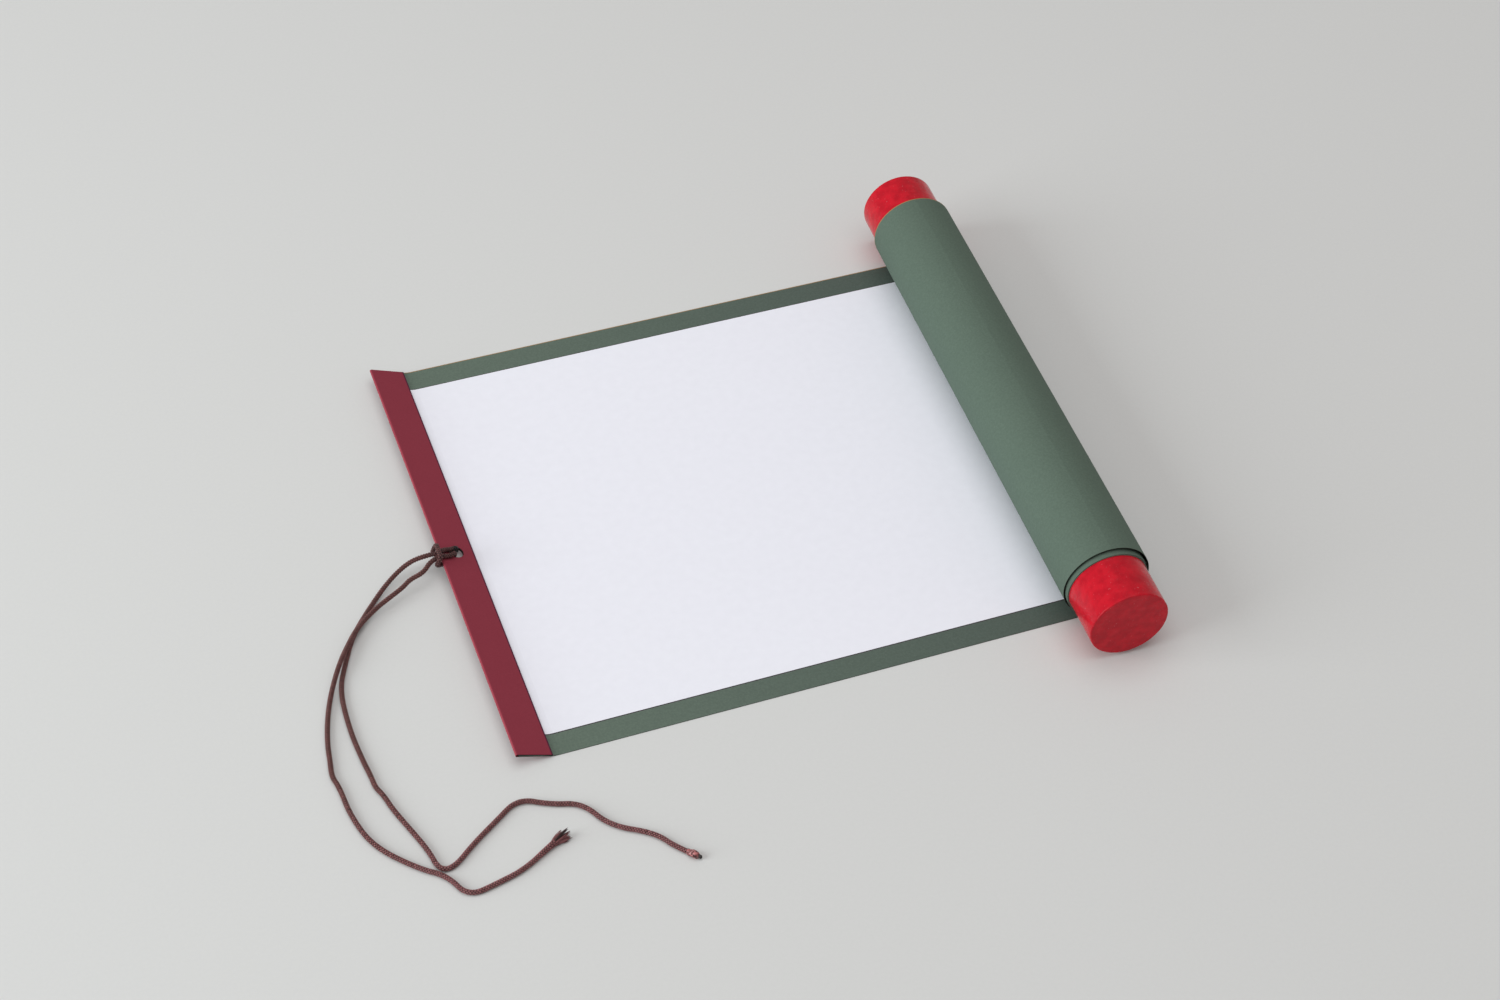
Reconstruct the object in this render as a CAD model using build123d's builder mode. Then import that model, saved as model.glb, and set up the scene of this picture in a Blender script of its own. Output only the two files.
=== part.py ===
from build123d import *
import math
import os

# A paper scroll, partly unrolled on a table. All sizes are in millimetres.
# X runs along the sheet from its bound end to the roll, Y across it, Z up from the table.
# The origin is on the table, at the middle of the box round the scroll without its cord.

# Sheets
backing_width = 233.0
backing_thickness = 0.25
writing_near_width = 105.4
writing_far_width = 104.4
writing_thickness = 0.10

# The bound end curls up from the table
end_tilt = 20.0
curl_radius = 10.0
writing_tuck = 3.0

# Paper strip folded round the bound end. The backing stops short of the fold
strip_width = 16.0
strip_thickness = 0.25
fold_radius = 0.45
fold_gap = 0.7
hole_diameter = 6.6
hole_from_edge = 8.3
hole_y = -1.5

# Roll, and the length of sheet that lies open before it
open_length = 243.0
roll_skew = 2.35
half_turns = 6
layer_gap = 0.05
outer_slack = 0.6
roll_slide = 2.1

# Cardboard tube, and the turned knobs in its ends, which are as wide as the tube
tube_diameter = 34.2
tube_wall = 1.5
knob_length = 22.5
knob_edge = 0.5
spigot_length = 10.0
spigot_clearance = 0.1

# Braided cord, made with flat sides so that its solids stay light
cord_diameter = 2.2
cord_side_count = 8
hitch_spread = 2.8
hitch_loop_width = 7.7
hitch_over = 2.45
hitch_under = 1.8
hitch_loop_height = 4.4
hitch_loop_from_edge = 17.4
exit_run = 1.6

# Chosen points of the two tails, from the inner edge of the strip at mid-width. The frayed tail
# crosses over the sealed one, so it is higher there
frayed_route = [
    (-15.8, -6.5, 8.4), (-19.6, -7.4, 8.0), (-23.7, -10.6, 6.8), (-30.3, -11.7, 5.8),
    (-33.5, -14.1, 5.1), (-40.8, -17.5, 4.2), (-47.1, -20.7, 3.6), (-56.8, -28.4, 3.45),
    (-63.8, -38.5, 3.45), (-68.4, -45.7, 3.4), (-74.2, -56.1, 1.8), (-79.0, -67.9, 1.1),
    (-82.4, -81.8, 1.1), (-84.2, -96.3, 1.1), (-82.1, -120.2, 1.1), (-77.4, -137.1, 1.1),
    (-63.8, -152.7, 1.1), (-54.4, -159.3, 1.1), (-49.4, -171.3, 1.1), (-36.6, -168.3, 1.1),
    (-26.2, -165.5, 1.1), (-13.2, -157.9, 1.1), (-5.0, -154.1, 1.1),
]
sealed_route = [
    (-15.8, -3.5, 8.4), (-20.3, -2.6, 7.9), (-28.4, -1.8, 5.6), (-38.6, -7.0, 2.6),
    (-49.2, -17.4, 1.1), (-59.5, -30.0, 1.1), (-66.2, -43.8, 1.1), (-71.4, -57.3, 1.1),
    (-72.7, -78.3, 1.1), (-71.4, -94.4, 1.1), (-68.8, -114.2, 1.1), (-62.2, -133.3, 1.1),
    (-58.9, -146.5, 1.1), (-57.3, -155.2, 1.1), (-50.7, -157.2, 1.1), (-41.3, -147.5, 1.1),
    (-31.3, -141.1, 1.1), (-18.9, -132.2, 1.1), (-7.5, -139.7, 1.1), (4.1, -142.7, 1.1),
    (10.8, -156.9, 1.1), (26.1, -165.6, 1.1), (32.0, -175.3, 1.1), (39.4, -182.6, 1.1),
]

# Heights through the sheets, from the underside of the backing
backing_top = backing_thickness
stack = backing_thickness + writing_thickness

# How far the backing and the strip's lower layer run from the strip's inner edge
fold_along = strip_width - strip_thickness - fold_radius
backing_tuck = fold_along - fold_gap

# Each half turn has its own radius, and its centre is set so that it runs on from the last:
# even ones rise on the side away from the sheet, odd ones come down on the near side
tube_radius = tube_diameter / 2
half_turn_step = (stack + layer_gap) / 2
turn_radii = []
for turn in range(half_turns):
    slack = outer_slack if turn < 2 else 0
    turn_radii.append(tube_radius + stack + (half_turns - 1 - turn) * half_turn_step + slack)
turn_heights = [turn_radii[0]]
for turn in range(1, half_turns):
    change = turn_radii[turn - 1] - turn_radii[turn]
    turn_heights.append(turn_heights[-1] + (change if turn % 2 else -change))
tube_height = turn_heights[-1]

# Middle of the box round the scroll, from the inner edge of the strip at mid-width
tilt = math.radians(end_tilt)
skew = math.radians(roll_skew)
half_roll = backing_width / 2 / math.cos(skew)
fold_reach = fold_along * math.cos(tilt) - fold_radius * math.sin(tilt) + fold_radius + strip_thickness
roll_reach = open_length + half_roll * math.sin(skew) + turn_radii[0] * math.cos(skew)
knob_spread = tube_radius * math.sin(skew)
near_reach = (half_roll + roll_slide + knob_length) * math.cos(skew) + knob_spread
far_reach = (half_roll - roll_slide + knob_length) * math.cos(skew) + knob_spread
middle_x = (roll_reach - fold_reach) / 2
middle_y = (far_reach - near_reach) / 2


def at(x, y, z=0.0):
    """A point from its place beside the strip's inner edge, at mid-width, on the table."""
    return Vector(x - middle_x, y - middle_y, z)


# The side view of the sheet, with its height upwards
side_plane = Plane(at(0, 0), x_dir=(1, 0, 0), z_dir=(0, -1, 0))

# The tilted end, from the inner edge of the strip: X towards the fold, Y square off the paper
edge_rise = curl_radius * (1 - math.cos(tilt))
strip_plane = Plane(
    at(0, 0, edge_rise), x_dir=(-math.cos(tilt), 0, math.sin(tilt)), z_dir=(0, 1, 0)
)
hole_plane = Plane(
    strip_plane.from_local_coords((hole_from_edge, 0, hole_y)),
    x_dir=(0, 1, 0),
    z_dir=strip_plane.y_dir,
)

# The end view of the roll, looking along its axis from the far end
roll_plane = Plane(
    at(open_length, 0),
    x_dir=(math.cos(skew), -math.sin(skew), 0),
    z_dir=(-math.sin(skew), -math.cos(skew), 0),
)


def free_end(low, high, tuck, near, far):
    """The end of a sheet: flat on the table, then curled up and straight under the strip."""
    with BuildPart() as end:
        with BuildSketch(side_plane.offset(-far)):
            with BuildLine():
                curl = JernArc(
                    start=(curl_radius * math.sin(tilt), low),
                    tangent=(-1, 0),
                    radius=curl_radius - low,
                    arc_size=-end_tilt,
                )
                Line(curl @ 1, curl @ 1 + (curl % 1) * tuck)
                offset(amount=high - low, side=Side.RIGHT)
            make_face()
        extrude(amount=near + far)
    return end.part


def flat_panel(low, high, near, far):
    """The part of a sheet that lies on the table, cut slantwise where the roll begins."""
    start = curl_radius * math.sin(tilt)
    near_corner = at(start, -near)
    near_roll = at(open_length - near * math.tan(skew), -near)
    far_roll = at(open_length + far * math.tan(skew), far)
    far_corner = at(start, far)
    with BuildPart() as panel:
        with BuildSketch(Plane.XY.offset(low)):
            with BuildLine():
                Polyline(near_corner, near_roll, far_roll, far_corner, close=True)
            make_face()
        extrude(amount=high - low)
    return panel.part


def half_turn(turn, low, high, near, far):
    """Half a turn of a sheet round the tube. The third one carries the sheet sideways."""
    start_slide = roll_slide if turn > 2 else 0
    end_slide = roll_slide if turn > 1 else 0
    radius = turn_radii[turn]
    with BuildPart() as arc:
        with BuildSketch(roll_plane.offset(start_slide - far)):
            with BuildLine():
                start_angle = 90 if turn % 2 else -90
                outer = CenterArc((0, turn_heights[turn]), radius - low, start_angle, 180)
                inner = CenterArc((0, turn_heights[turn]), radius - high, start_angle, 180)
                Line(outer @ 0, inner @ 0)
                Line(outer @ 1, inner @ 1)
            make_face()
        extrude(amount=near + far + end_slide - start_slide)
        if end_slide > start_slide:
            lean = (end_slide - start_slide) / (2 * radius)
            foot = turn_heights[turn] - radius
            across = roll_plane.z_dir - Vector(0, 0, lean)
            for distance, side in ((near, Keep.BOTTOM), (-far, Keep.TOP)):
                edge = roll_plane.from_local_coords((0, foot, distance))
                split(bisect_by=Plane(edge, x_dir=roll_plane.x_dir, z_dir=across), keep=side)
    return arc.part


def sheet(low, high, tuck, near, far):
    """One whole sheet, from its end under the strip to its end on the tube."""
    with BuildPart() as whole:
        add(free_end(low, high, tuck, near, far))
        add(flat_panel(low, high, near, far))
        for turn in range(half_turns):
            add(half_turn(turn, low, high, near / math.cos(skew), far / math.cos(skew)))
    return whole.part


# Backing sheet, with the hole that the cord passes
with BuildPart() as backing_sheet:
    add(sheet(0, backing_top, backing_tuck, backing_width / 2, backing_width / 2))
    with BuildSketch(hole_plane):
        Circle(hole_diameter / 2)
    extrude(amount=2 * fold_radius, both=True, mode=Mode.SUBTRACT)

# Writing sheet, on top of the backing and inside it in the roll
with BuildPart() as writing_sheet:
    add(sheet(backing_top, stack, writing_tuck, writing_near_width, writing_far_width))

# End strip: one layer under the backing, a fold, and a layer that comes down on the writing
lean = math.atan2(fold_radius - stack, fold_along)
lean += math.asin(fold_radius / math.hypot(fold_along, fold_radius - stack))
with BuildPart() as end_strip:
    with BuildSketch(strip_plane.offset(-backing_width / 2)):
        with BuildLine():
            starts = []
            ends = []
            for depth in (0, strip_thickness):
                lower = Line((0, -depth), (fold_along, -depth))
                fold = JernArc(
                    start=lower @ 1,
                    tangent=lower % 1,
                    radius=fold_radius + depth,
                    arc_size=180 + math.degrees(lean),
                )
                upper_end = (-depth * math.sin(lean), stack + depth * math.cos(lean))
                upper = Line(fold @ 1, upper_end)
                starts.append(lower @ 0)
                ends.append(upper @ 1)
            Line(*starts)
            Line(*ends)
        make_face()
    extrude(amount=backing_width)
    with BuildSketch(hole_plane):
        Circle(hole_diameter / 2)
    extrude(amount=4 * fold_radius, both=True, mode=Mode.SUBTRACT)

# Roller tube, as long as the roll is wide, slid with the inner turns
with BuildPart() as roller_tube:
    with BuildSketch(roll_plane.offset(roll_slide - half_roll)):
        with Locations((0, tube_height)):
            Circle(tube_radius)
            Circle(tube_radius - tube_wall, mode=Mode.SUBTRACT)
    extrude(amount=2 * half_roll)


def knob(end):
    """A turned knob whose shoulder sits on the end of the tube, with a spigot inside it."""
    spigot_radius = tube_radius - tube_wall - spigot_clearance
    profile_plane = Plane(end.origin, x_dir=end.x_dir, z_dir=end.x_dir.cross(end.z_dir))
    with BuildPart() as turned:
        with BuildSketch(profile_plane):
            with BuildLine():
                Polyline(
                    (0, -spigot_length),
                    (spigot_radius, -spigot_length),
                    (spigot_radius, 0),
                    (tube_radius, 0),
                    (tube_radius, knob_length),
                    (0, knob_length),
                    close=True,
                )
            make_face()
        revolve(axis=Axis(end.origin, end.z_dir))
        chamfer(turned.edges().sort_by(Axis(end.origin, end.z_dir))[-1], knob_edge)
    return turned.part


tube_end = Plane(
    roll_plane.from_local_coords((0, tube_height, roll_slide + half_roll)),
    x_dir=roll_plane.x_dir,
    z_dir=roll_plane.z_dir,
)
with BuildPart() as end_knob_near:
    add(knob(tube_end))

tube_start = Plane(
    roll_plane.from_local_coords((0, tube_height, roll_slide - half_roll)),
    x_dir=roll_plane.x_dir,
    z_dir=-roll_plane.z_dir,
)
with BuildPart() as end_knob_far:
    add(knob(tube_start))


def cord(name, points):
    """A length of cord: straight runs joined by arcs as large as the runs allow."""
    radii = []
    for before, corner, after in zip(points, points[1:], points[2:]):
        arriving = corner - before
        leaving = after - corner
        half_angle = math.radians(arriving.get_angle(leaving) / 2)
        radii.append(0.45 * min(arriving.length, leaving.length) / math.tan(half_angle))
    with BuildPart() as tube:
        with BuildLine():
            path = FilletPolyline(*points, radius=radii)
        with BuildSketch(Plane(path @ 0, z_dir=path % 0)) as section:
            RegularPolygon(cord_diameter / 2, cord_side_count)
        sweep()
    print(name, "radii", [round(radius, 1) for radius in radii])
    print(name, "length", round(path.length, 1), "volume", round(tube.part.volume, 1))
    print(name, "section times length", round(section.sketch.area * path.length, 1))
    return tube.part


def hitch_point(along, across, off):
    """A point of the hitch, measured on the tilted strip from its inner edge."""
    return strip_plane.from_local_coords((along, off, across))


# Cow hitch: from one tail over the strip, down through the hole, back under the strip and
# up round its fold, across as the loop, and the same way back to the other tail
frayed_points = [at(*point) for point in frayed_route]
sealed_points = [at(*point) for point in sealed_route]
hole_along = hole_from_edge + hitch_spread / 2
loop_y = (frayed_route[0][1] + sealed_route[0][1]) / 2


def strand(tail, side):
    """One strand, from the tail's start to the corner where the loop goes across."""
    exit_step = (tail[0] - tail[1]).normalized() * exit_run
    hole_side = hole_y + side * hitch_spread / 2
    loop_side = loop_y + side * hitch_loop_width / 2
    return [
        tail[0],
        tail[0] + exit_step,
        hitch_point(hole_along, hole_side, hitch_over),
        hitch_point(hole_along, hole_side, -hitch_under),
        hitch_point(hitch_loop_from_edge, loop_side, -hitch_under),
        hitch_point(hitch_loop_from_edge, loop_side, hitch_loop_height),
    ]


with BuildPart() as cord_hitch:
    add(cord("cord_hitch", strand(frayed_points, -1) + strand(sealed_points, 1)[::-1]))

with BuildPart() as cord_tail_frayed:
    add(cord("cord_tail_frayed", frayed_points))

with BuildPart() as cord_tail_sealed:
    add(cord("cord_tail_sealed", sealed_points))

# Each piece is written on its own
pieces = {
    "backing_sheet": backing_sheet,
    "writing_sheet": writing_sheet,
    "end_strip": end_strip,
    "roller_tube": roller_tube,
    "end_knob_near": end_knob_near,
    "end_knob_far": end_knob_far,
    "cord_hitch": cord_hitch,
    "cord_tail_frayed": cord_tail_frayed,
    "cord_tail_sealed": cord_tail_sealed,
}
os.makedirs("parts", exist_ok=True)
for name, piece in pieces.items():
    piece.part.label = name
    export_step(piece.part, f"parts/{name}.step")
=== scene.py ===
# %% [markdown]
# # A paper scroll with a tied cord
#
# The real thing is a long sheet of green paper with a white writing sheet pasted on it. One end
# is wound round a cardboard tube with a red wooden knob in each end. The other end is folded into
# a maroon paper strip, and a braided cord is tied through a hole in the strip.
#
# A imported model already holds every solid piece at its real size. This lesson adds what the
# solids lack: the braid of the cord, the rounded and painted knobs, and a finish for each surface.
# Blender works in metres, so millimetres are multiplied by MM.

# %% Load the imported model
import math
import random

import bpy
from mathutils import Matrix, Vector, noise


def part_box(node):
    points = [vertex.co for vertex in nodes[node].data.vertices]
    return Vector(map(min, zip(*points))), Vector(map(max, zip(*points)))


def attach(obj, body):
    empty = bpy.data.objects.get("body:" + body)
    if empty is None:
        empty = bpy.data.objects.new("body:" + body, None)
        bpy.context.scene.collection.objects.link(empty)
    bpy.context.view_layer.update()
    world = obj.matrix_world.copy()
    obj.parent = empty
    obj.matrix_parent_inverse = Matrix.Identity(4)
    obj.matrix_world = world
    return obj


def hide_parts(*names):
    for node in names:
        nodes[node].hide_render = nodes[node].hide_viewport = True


MM = 0.001
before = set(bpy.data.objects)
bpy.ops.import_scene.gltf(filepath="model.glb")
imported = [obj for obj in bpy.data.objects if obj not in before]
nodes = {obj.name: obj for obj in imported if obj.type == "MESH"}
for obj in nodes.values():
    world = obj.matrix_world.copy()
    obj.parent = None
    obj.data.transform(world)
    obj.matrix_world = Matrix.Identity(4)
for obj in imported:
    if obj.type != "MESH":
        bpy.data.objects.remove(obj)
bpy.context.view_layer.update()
print("packed nodes", sorted(nodes))

# %% [markdown]
# ## The camera
#
# The camera stands where the photographer stood: to the near left of the sheet, looking down at
# it from the height of someone standing at the table. Its place could be found by eye, but a place
# worked out from the corners of the sheet keeps every edge on its true line. A heading turns the
# view from straight along Y towards X, an elevation tips it down, and a small roll is left in,
# because a hand-held or tripod camera is seldom quite level.

# %% Camera
PHOTO_WIDTH = 1500
LENS_PIXELS = 2598.3
CAMERA_PLACE = Vector((-287.52, -738.93, 805.24)) * MM
CAMERA_ELEVATION = 45.716
CAMERA_HEADING = 21.145
CAMERA_ROLL = 1.778

camera_data = bpy.data.cameras.new("camera")
camera_data.sensor_width = 36
camera_data.lens = camera_data.sensor_width * LENS_PIXELS / PHOTO_WIDTH
camera = bpy.data.objects.new("camera", camera_data)
camera.location = CAMERA_PLACE
heading = Matrix.Rotation(math.radians(-CAMERA_HEADING), 3, "Z")
tip = Matrix.Rotation(math.radians(90 - CAMERA_ELEVATION), 3, "X")
roll = Matrix.Rotation(math.radians(CAMERA_ROLL), 3, "Z")
camera.rotation_euler = (heading @ tip @ roll).to_euler()
bpy.context.scene.collection.objects.link(camera)
bpy.context.scene.camera = camera
print("lens", round(camera_data.lens, 2), "mm")

# %% [markdown]
# ## The cord's route
#
# The cord is limp and lies where it was dropped, so no formula gives its line. A few listed points
# do, as the control points of a NURBS spline: the smooth line is pulled towards each point, and
# never kinks. They are in metres, from the middle of the strip's inner edge.
#
# The frayed tail lies over the sealed one for a while after the knot, so its points are higher
# there, with one on each side of the crossing.

# %% Routes of the two tails
# The middle of the strip's inner edge
SHEET_EDGE = Vector((-0.1259458, 0.0020982, 0))

frayed_route = [
    (-0.0158, -0.0058, 0.0084), (-0.0196, -0.0066, 0.0080), (-0.0237, -0.0109, 0.0068),
    (-0.0303, -0.0121, 0.0058), (-0.0335, -0.0146, 0.0051), (-0.0408, -0.0180, 0.0042),
    (-0.0471, -0.0212, 0.0036), (-0.0568, -0.0288, 0.00345), (-0.0638, -0.0385, 0.00345),
    (-0.0684, -0.0457, 0.0034), (-0.0740, -0.0561, 0.0018), (-0.0787, -0.0679, 0.0011),
    (-0.0822, -0.0818, 0.0011), (-0.0834, -0.0920, 0.0011), (-0.0845, -0.0990, 0.0011),
    (-0.0829, -0.1050, 0.0011), (-0.0821, -0.1202, 0.0011), (-0.0774, -0.1371, 0.0011),
    (-0.0638, -0.1527, 0.0011), (-0.0544, -0.1593, 0.0011), (-0.0494, -0.1713, 0.0011),
    (-0.0366, -0.1686, 0.0011), (-0.0262, -0.1660, 0.0011), (-0.0132, -0.1585, 0.0011),
    (-0.0050, -0.1547, 0.0011),
]
sealed_route = [
    (-0.0158, -0.0035, 0.0084), (-0.0203, -0.0028, 0.0079), (-0.0283, -0.0021, 0.0056),
    (-0.0384, -0.0073, 0.0026), (-0.0490, -0.0178, 0.0011), (-0.0592, -0.0304, 0.0011),
    (-0.0657, -0.0441, 0.0011), (-0.0712, -0.0573, 0.0011), (-0.0723, -0.0783, 0.0011),
    (-0.0712, -0.0944, 0.0011), (-0.0700, -0.1040, 0.0011), (-0.0697, -0.1098, 0.0011),
    (-0.0677, -0.1142, 0.0011), (-0.0660, -0.1222, 0.0011), (-0.0622, -0.1333, 0.0011),
    (-0.0581, -0.1455, 0.0011), (-0.0566, -0.1556, 0.0011), (-0.0511, -0.1567, 0.0011),
    (-0.0406, -0.1478, 0.0011), (-0.0303, -0.1408, 0.0011), (-0.0191, -0.1328, 0.0011),
    (-0.0078, -0.1396, 0.0011), (0.0041, -0.1430, 0.0011), (0.0108, -0.1569, 0.0011),
    (0.0261, -0.1656, 0.0011), (0.0320, -0.1753, 0.0011), (0.0394, -0.1826, 0.0011),
]


def smooth_line(name, points):
    """The line of a NURBS spline through its control points, as Blender draws it."""
    curve = bpy.data.curves.new(name, "CURVE")
    curve.dimensions = "3D"
    spline = curve.splines.new("NURBS")
    spline.points.add(len(points) - 1)
    for control, point in zip(spline.points, points):
        control.co = (*point, 1)
    spline.order_u = 3
    spline.use_endpoint_u = True
    spline.resolution_u = 40
    holder = bpy.data.objects.new(name, curve)
    drawn = bpy.data.meshes.new_from_object(holder)
    line = [vertex.co.copy() for vertex in drawn.vertices]
    bpy.data.objects.remove(holder)
    bpy.data.curves.remove(curve)
    bpy.data.meshes.remove(drawn)
    return line


def length_of(line):
    """How long a line is, from point to point."""
    return sum((end - start).length for start, end in zip(line, line[1:]))


frayed_line = smooth_line("frayed", [SHEET_EDGE + Vector(point) for point in frayed_route])
sealed_line = smooth_line("sealed", [SHEET_EDGE + Vector(point) for point in sealed_route])
print("tails", round(length_of(frayed_line), 4), round(length_of(sealed_line), 4), "m")

# %% [markdown]
# ## The hitch
#
# The cord is tied with a cow hitch. Its middle is pushed through the hole and round the edge of
# the strip as a loop, and both tails pass through that loop. From above one sees two strands
# that come out of the hole and run over the strip, and the loop that crosses them at its edge.
#
# These points are measured on the tilted strip: along the sheet from the strip's inner edge
# towards the fold, across the sheet, and square off it. They go from a tail over the strip, down
# through the hole and back under the strip. Between the two halves lie the points of the loop,
# which stands out round the fold. Paper and cord each have their thickness, so no point is closer
# to the paper than half a cord, and strands that lie side by side are a whole cord apart.

# %% Route of the hitch
END_TILT = math.radians(20)
# The sheet curls up to the tilted strip, which lifts the strip's inner edge a little
EDGE_RISE = Vector((0, 0, 0.000603))
STRIP_ALONG = Vector((-math.cos(END_TILT), 0, math.sin(END_TILT)))
STRIP_ACROSS = Vector((0, 1, 0))
STRIP_OFF = Vector((math.sin(END_TILT), 0, math.cos(END_TILT)))


def on_strip(along, across, off):
    """A point beside the tilted strip, from its place on it in metres."""
    return SHEET_EDGE + EDGE_RISE + STRIP_ALONG * along + STRIP_ACROSS * across + STRIP_OFF * off


frayed_half = [SHEET_EDGE + Vector(frayed_route[0])]
frayed_half += [
    on_strip(0.0161, -0.0058, 0.00245), on_strip(0.0140, -0.0055, 0.00225),
    on_strip(0.0120, -0.0052, 0.00225), on_strip(0.0096, -0.0035, 0.0026),
    on_strip(0.0092, -0.0027, -0.0016), on_strip(0.0135, -0.0058, -0.0016),
    on_strip(0.0180, -0.0078, -0.0014), on_strip(0.0185, -0.0087, 0.0016),
]
loop = [
    on_strip(0.0179, -0.0084, 0.0044), on_strip(0.0182, -0.0046, 0.0045),
    on_strip(0.0179, -0.0008, 0.0045),
]
sealed_half = [SHEET_EDGE + Vector(sealed_route[0])]
sealed_half += [
    on_strip(0.0161, -0.0034, 0.0025), on_strip(0.0147, -0.0018, 0.00225),
    on_strip(0.0118, -0.0016, 0.00225), on_strip(0.0095, -0.0009, 0.0024),
    on_strip(0.0078, 0.0000, 0.0016), on_strip(0.0074, 0.0002, -0.0004),
    on_strip(0.0086, 0.0002, -0.0018), on_strip(0.0135, -0.0006, -0.0016),
    on_strip(0.0180, -0.0008, -0.0016), on_strip(0.0184, -0.0007, 0.0014),
]
hitch_points = frayed_half + loop + sealed_half[::-1]
hitch_line = smooth_line("hitch", hitch_points)
print("hitch", round(length_of(hitch_line), 4), "m")

# %% [markdown]
# ## Walking along a line
#
# All that follows the cord needs points at even steps, the way the line heads at each of them,
# and two directions across it. Those two are carried from point to point without a twist. Worked
# out afresh at each point, they could jump round where the cord bends, and the braid would tear.

# %% Helpers for lines


def evenly(line, step):
    """The same line with its points one step apart."""
    travelled = [0.0]
    for start, end in zip(line, line[1:]):
        travelled.append(travelled[-1] + (end - start).length)
    count = round(travelled[-1] / step)
    places = []
    span = 0
    for number in range(count + 1):
        distance = travelled[-1] * number / count
        while span < len(line) - 2 and travelled[span + 1] < distance:
            span += 1
        share = (distance - travelled[span]) / (travelled[span + 1] - travelled[span])
        places.append(line[span].lerp(line[span + 1], share))
    return places


def headings(places):
    """The direction of a line at each of its points."""
    after = places[1:] + places[-1:]
    before = places[:1] + places[:-1]
    return [(end - start).normalized() for start, end in zip(before, after)]


def untwisted(places):
    """Two directions across a line at each of its points, carried along it without a twist."""
    directions = headings(places)
    across = directions[0].orthogonal().normalized()
    frames = []
    for number, direction in enumerate(directions):
        if number:
            across = directions[number - 1].rotation_difference(direction) @ across
        across = (across - direction * across.dot(direction)).normalized()
        frames.append((across, direction.cross(across)))
    return frames


print("hitch points a millimetre apart", len(evenly(hitch_line, MM)))

# %% [markdown]
# ## Rings of corners
#
# A strand, a fibre, the melted end and a knob are all made the same way: rings of corners are set
# out one after another, and faces join each ring to the next. A curve with a bevel would draw a
# round strand with less code. Rings let a strand be flat and face outwards all the way, and give
# each corner a place on a UV map, which the cord's finish needs.

# %% Helpers for tubes and pieces
# The first and last ring of a strand are this share as wide as the others
STRAND_END = 0.6


def ring_faces(first, rings, sides):
    """The faces between rings of corners that are numbered one after another."""
    faces = []
    for ring in range(rings - 1):
        start = first + ring * sides
        for side in range(sides):
            beside = (side + 1) % sides
            faces.append((start + side, start + beside, start + sides + beside, start + sides + side))
    return faces


def end_faces(first, rings, sides):
    """The two faces that close a tube of rings."""
    last = first + (rings - 1) * sides
    return [tuple(reversed(range(first, first + sides))), tuple(range(last, last + sides))]


def add_tube(mesh_parts, centres, outwards, half_thick, half_wide, sides=6, lifts=None):
    """Adds one closed tube to lists of corners, faces and UV places, for a flat strand.

    The lifts say where the strand is on top: at 0, 2, 4 and so on, and lowest between those.
    """
    corners, faces, uv_places = mesh_parts
    first = len(corners)
    for number, (centre, direction) in enumerate(zip(centres, headings(centres))):
        out = outwards[number]
        out = (out - direction * out.dot(direction)).normalized()
        side = direction.cross(out)
        shrink = 1.0 if 0 < number < len(centres) - 1 else STRAND_END
        for corner in range(sides):
            angle = math.tau * corner / sides
            reach = out * half_thick * math.cos(angle) + side * half_wide * math.sin(angle)
            corners.append(centre + reach * shrink)
            uv_places.append((corner / sides, lifts[number] if lifts else 0.0))
    faces += ring_faces(first, len(centres), sides)
    faces += end_faces(first, len(centres), sides)


def new_piece(name, corners, faces, smooth=True):
    """An object from lists of corners and faces, put in the scene."""
    mesh = bpy.data.meshes.new(name)
    mesh.from_pydata(corners, [], faces)
    mesh.polygons.foreach_set("use_smooth", [smooth] * len(mesh.polygons))
    piece = bpy.data.objects.new(name, mesh)
    bpy.context.scene.collection.objects.link(piece)
    return piece


def strands_object(name, mesh_parts):
    """A piece from the lists that add_tube fills, with a UV map for its strands."""
    corners, faces, uv_places = mesh_parts
    piece = new_piece(name, corners, faces)
    strands_map = piece.data.uv_layers.new(name="strands")
    for corner in piece.data.loops:
        strands_map.data[corner.index].uv = uv_places[corner.vertex_index]
    return piece


print("faces from one ring of six to the next", len(ring_faces(0, 2, 6)))

# %% [markdown]
# ## Braiding the cord
#
# Close up, the cord is a round braid of eight strands: four wind one way and four the other,
# and each goes over one and under the next. The bright floats are what reads as rice grains from
# a step away. A bump pattern on a tube would give the grains but a smooth outline, so the strands
# are made as real tubes. Each follows a helix round the cord's line, and its radius swings in and
# out so that it clears the strand that it crosses.
#
# In the photograph the grains lie 1.1 mm apart along the cord. Four strands wind each way, so one
# full wind is four times that. The strands are narrower than the room they have, because the dark
# gaps between the grains are what makes the pattern show.
#
# Near its cut end the braid has begun to open, so it gets thicker there, and lies higher.

# %% Sizes of the braid
CORD_DIAMETER = 2.2 * MM
STRANDS_EACH_WAY = 4
GRAIN_SPACING = 1.12 * MM
WIND = STRANDS_EACH_WAY * GRAIN_SPACING
BRAID_STEP = GRAIN_SPACING / 6
STRAND_RADIUS = 0.70 * MM
STRAND_SWING = 0.18 * MM
STRAND_HALF_THICK = 0.26 * MM
STRAND_HALF_WIDE = 0.35 * MM
CORE_RADIUS = 0.46 * MM
CORE_SIDES = 8
# The core is smooth, so it only needs a ring at every third step
CORE_EVERY = 3
# How much the strands' distance from the middle varies, and how many times to a millimetre
UNEVEN_SHARE = 0.05
UNEVEN_COUNT = 0.9
# How much thicker the braid is where it has opened, and how late on its way there
OPENED_SHARE = 0.42
OPENED_CURVE = 1.5
print("one full wind", round(WIND / MM, 2), "mm")

# %% Braid along a line


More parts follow.
